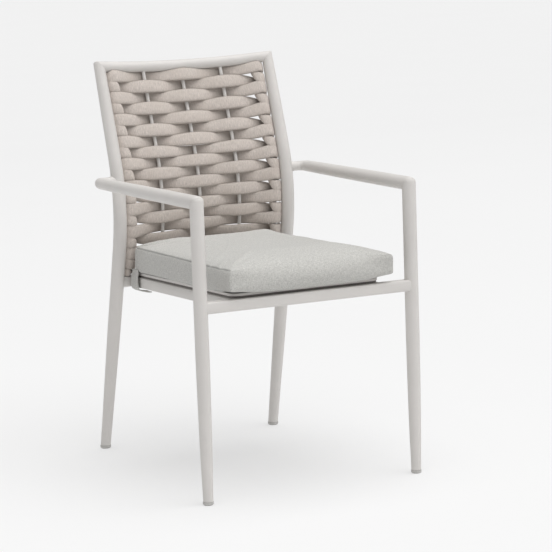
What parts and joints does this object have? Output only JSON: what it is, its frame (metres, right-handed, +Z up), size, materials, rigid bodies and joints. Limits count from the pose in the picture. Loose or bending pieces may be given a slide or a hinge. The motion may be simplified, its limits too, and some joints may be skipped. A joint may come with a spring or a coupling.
{
  "type": "outdoor dining armchair",
  "caption": "Outdoor dining armchair: painted tube frame, back of a padded strap woven round slim rods, flat seat panel and a loose cushion held by ties.",
  "frame": {"origin": "on the floor, under the middle of the chair's bounding box", "axes": "+Z up, the chair faces -Y, +X is the side that is on the right for someone looking at the chair from the front"},
  "size_m": [0.5318, 0.6548, 0.8808],
  "materials": {
    "frame_paint": "satin powder coat, light warm grey",
    "strap_cloth": "fine textile sleeve, greige",
    "cushion_cloth": "fine plain weave, light grey",
    "dark_rubber": "matt, near black",
    "glide_plastic": "matt, light grey"
  },
  "bodies": {
    "frame": {"front_leg_left": "frame_paint", "front_leg_right": "frame_paint", "rear_leg_left": "frame_paint", "rear_leg_right": "frame_paint", "arm_left": "frame_paint", "arm_right": "frame_paint", "top_rail": "frame_paint", "front_rail": "frame_paint", "rear_rail": "frame_paint", "side_rail_left": "frame_paint", "side_rail_right": "frame_paint", "back_rod_side_left": "frame_paint", "back_rod_left": "frame_paint", "back_rod_middle": "frame_paint", "back_rod_right": "frame_paint", "back_rod_side_right": "frame_paint", "woven_strap": "strap_cloth", "seat_edging": "dark_rubber", "seat_panel": "frame_paint", "front_glide_left": "glide_plastic", "front_glide_right": "glide_plastic", "rear_glide_left": "glide_plastic", "rear_glide_right": "glide_plastic"},
    "cushion": {"seat_cushion": "cushion_cloth", "cushion_tie_left": "cushion_cloth", "cushion_tie_right": "cushion_cloth"}
  },
  "joints": [
    {"name": "cushion_lift", "type": "slide", "parent": "frame", "child": "cushion", "axis": [0, -0.4226, 0.9063], "range_m": [0, 0.28], "deforming": ["cushion_tie_left", "cushion_tie_right"]}
  ]
}
